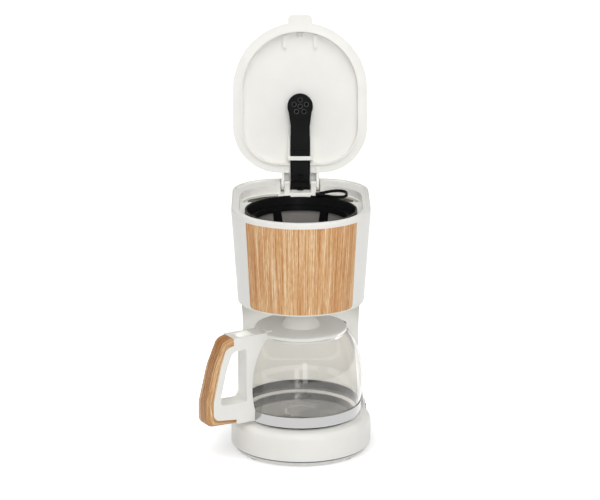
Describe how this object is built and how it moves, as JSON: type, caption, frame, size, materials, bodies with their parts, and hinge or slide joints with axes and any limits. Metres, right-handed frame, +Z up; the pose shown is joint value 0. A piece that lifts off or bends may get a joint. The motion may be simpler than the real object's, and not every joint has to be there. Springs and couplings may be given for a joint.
{
  "type": "drip coffee maker",
  "caption": "Compact drip coffee maker with a hinged lid, lift-out filter basket, glass jug on a hot plate, wood-look panel and grip, and a side rocker switch.",
  "frame": {"origin": "On the table, straight under the jug's axis.", "axes": "X to the machine's right as seen from the front, Y to its back, Z up."},
  "size_m": [0.1803, 0.2217, 0.4366],
  "materials": {
    "white_plastic": "glossy moulded white",
    "wood_print": "light oak print under a satin coat",
    "black_plastic": "fine satin black",
    "tank_plastic": "cloudy natural",
    "mesh": "fine woven filter cloth",
    "jug_glass": "clear polished",
    "band_chrome": "bright",
    "plate_coat": "dark grey non-stick coat",
    "aluminium": "plain cast",
    "steel": "plain zinc-plated",
    "rubber": "matt black",
    "silicone": "cloudy white",
    "rocker": "gloss black"
  },
  "bodies": {
    "machine": {"main_body": "white_plastic", "bottom_cover": "white_plastic", "bottom_screws": "steel", "feet": "rubber", "hot_plate": "plate_coat", "plate_seal": "rubber", "heating_element": "aluminium", "element_clamp": "steel", "plate_stud": "steel", "clamp_nut": "steel", "thermostat": "steel", "thermal_fuse": "steel", "inlet_hose": "silicone", "riser_hose": "silicone", "check_valve": "tank_plastic", "tank_hose": "silicone", "hose_clips": "steel", "cord_inlet": "black_plastic", "switch_frame": "white_plastic", "upper_housing": "white_plastic", "wood_panel": "wood_print", "water_tank": "tank_plastic", "top_frame": "white_plastic", "outlet_nozzle": "silicone", "filter_holder": "white_plastic", "valve_spring": "steel", "hinge_bracket": "white_plastic", "hinge_pin": "steel"},
    "lid": {"lid_shell": "white_plastic", "arm_strap": "white_plastic", "shower_arm": "black_plastic", "arm_cap": "black_plastic"},
    "basket": {"filter_basket": "black_plastic", "filter_mesh": "mesh"},
    "loop": {"filter_loop": "black_plastic"},
    "jug": {"jug_glass": "jug_glass", "jug_band": "band_chrome", "jug_handle": "white_plastic", "handle_grip": "wood_print", "band_screw": "steel", "jug_lid": "white_plastic"},
    "valve": {"valve_stem": "white_plastic", "valve_seal": "rubber"},
    "rocker": {"rocker_switch": "rocker"}
  },
  "joints": [
    {"name": "lid_hinge", "type": "hinge", "parent": "machine", "child": "lid", "pos_m": [0, 0.1, 0.258], "axis": [-1, 0, 0], "range_deg": [-101, 0]},
    {"name": "basket_lift", "type": "slide", "parent": "machine", "child": "basket", "axis": [0, 0, 1], "range_m": [0, 0.12]},
    {"name": "loop_fold", "type": "hinge", "parent": "basket", "child": "loop", "pos_m": [0.018, 0.0544, 0.26], "axis": [0, -1, 0], "range_deg": [0, 90]},
    {"name": "jug_slide", "type": "slide", "parent": "machine", "child": "jug", "axis": [0, -1, 0], "range_m": [0, 0.25]},
    {"name": "drip_valve", "type": "slide", "parent": "machine", "child": "valve", "axis": [0, 0, 1], "range_m": [0, 0.004], "stiffness_N_per_m": 200, "springref_m": -0.004, "deforming": ["valve_spring"]},
    {"name": "rocker_tilt", "type": "hinge", "parent": "machine", "child": "rocker", "pos_m": [0.067, 0.056, 0.018], "axis": [0, 0, 1], "range_deg": [0, 14]}
  ]
}
